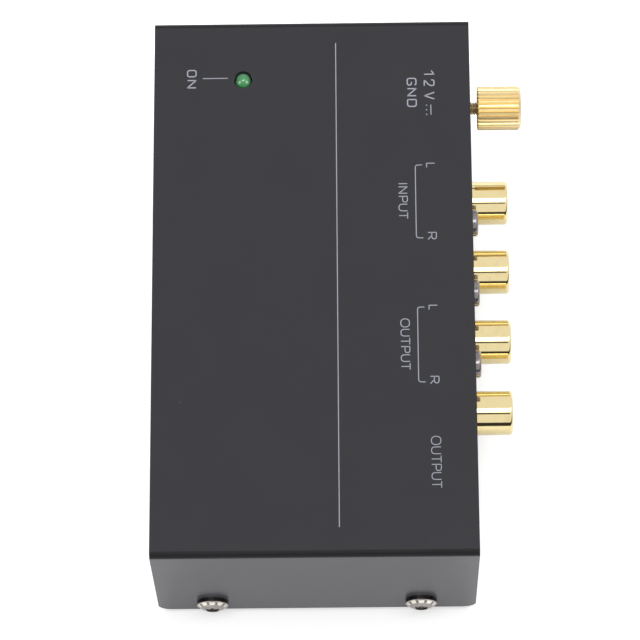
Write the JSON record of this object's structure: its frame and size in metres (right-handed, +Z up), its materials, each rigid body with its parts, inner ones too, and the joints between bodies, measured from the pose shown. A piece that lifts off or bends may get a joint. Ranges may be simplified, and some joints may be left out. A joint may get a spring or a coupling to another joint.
{
  "type": "phono preamp",
  "caption": "Small folded-metal phono preamp: gold phono sockets, a plug jack and a knurled ground screw at the rear, a green power light on top.",
  "frame": {"origin": "on the table, under the middle of the case", "axes": "+X along the case away from the power light, +Y out of the rear panel, +Z up"},
  "size_m": [0.1096, 0.0693, 0.0362],
  "materials": {
    "powder_coat": "matte fine powder coat",
    "base_coat": "matte fine powder coat",
    "screw_nickel": "nickel plated",
    "gold_plate": "polished gold plate",
    "gold_satin": "satin gold plate, knurled",
    "contact_metal": "bright plated",
    "tinned_metal": "tinned",
    "foot_rubber": "matte",
    "board_mask": "green solder mask",
    "moulded_black": "moulded",
    "insert_white": "moulded",
    "insert_red": "moulded",
    "lens_green": "clear tinted lens",
    "spacer_nylon": "natural nylon",
    "wire_green": "insulated lead",
    "chip_black": "moulded epoxy",
    "can_sleeve": "shrink sleeve on a can",
    "film_red": "dipped box",
    "resistor_blue": "lacquered"
  },
  "bodies": {
    "case": {"top_cover": "powder_coat", "base_chassis": "base_coat", "rubber_feet": "foot_rubber", "cover_screws": "screw_nickel", "circuit_board": "board_mask", "board_standoffs": "screw_nickel", "board_screws": "screw_nickel", "socket_housing": "moulded_black", "socket_screws": "screw_nickel", "input_left_shell": "gold_plate", "input_right_shell": "gold_plate", "output_left_shell": "gold_plate", "output_right_shell": "gold_plate", "input_left_insert": "insert_white", "input_right_insert": "insert_red", "output_left_insert": "insert_white", "output_right_insert": "insert_red", "input_left_contact": "contact_metal", "input_right_contact": "contact_metal", "output_left_contact": "contact_metal", "output_right_contact": "contact_metal", "jack_housing": "moulded_black", "jack_sleeve": "tinned_metal", "jack_tags": "tinned_metal", "power_jack_housing": "moulded_black", "power_jack_pin": "tinned_metal", "power_jack_tag": "tinned_metal", "ground_washer": "screw_nickel", "ground_lug": "tinned_metal", "ground_nut": "contact_metal", "ground_wire": "wire_green", "power_light": "lens_green", "power_light_leads": "tinned_metal", "light_spacer": "spacer_nylon", "amplifier_chips": "chip_black", "amplifier_legs": "tinned_metal", "voltage_regulator": "chip_black", "supply_capacitor": "can_sleeve", "electrolytic_capacitors": "can_sleeve", "film_capacitors": "film_red", "resistors": "resistor_blue", "polarity_diode": "chip_black"},
    "ground_screw": {"ground_shank": "gold_plate"},
    "ground_head": {"ground_knob": "gold_satin"},
    "ring_leaf": {"jack_ring_spring": "contact_metal"},
    "tip_leaf": {"jack_tip_spring": "contact_metal"},
    "barrel_leaf": {"power_jack_spring": "contact_metal"}
  },
  "joints": [
    {"name": "ground_screw_travel", "type": "slide", "parent": "case", "child": "ground_screw", "axis": [0, 1, 0], "range_m": [-0.0015, 0.0039]},
    {"name": "ground_knob_turn", "type": "hinge", "parent": "ground_screw", "child": "ground_head", "pos_m": [-0.038, 0.03535, 0.0276], "axis": [0, 1, 0], "range_deg": [-1201, 3121]},
    {"name": "ring_leaf_flex", "type": "hinge", "parent": "case", "child": "ring_leaf", "pos_m": [0.03065, 0.0202, 0.0161], "axis": [0, 0, -1], "range_deg": [0, 8], "stiffness_Nm_per_rad": 0.2},
    {"name": "tip_leaf_flex", "type": "hinge", "parent": "case", "child": "tip_leaf", "pos_m": [0.04085, 0.0202, 0.0161], "axis": [0, 0, 1], "range_deg": [0, 5], "stiffness_Nm_per_rad": 0.4},
    {"name": "barrel_leaf_flex", "type": "hinge", "parent": "case", "child": "barrel_leaf", "pos_m": [-0.04145, 0.0162, 0.0141], "axis": [0, 0, 1], "range_deg": [0, 4], "stiffness_Nm_per_rad": 0.1}
  ],
  "couplings": [
    {"joint": "ground_knob_turn", "follows": "ground_screw_travel", "rad_per_m": 13963}
  ]
}
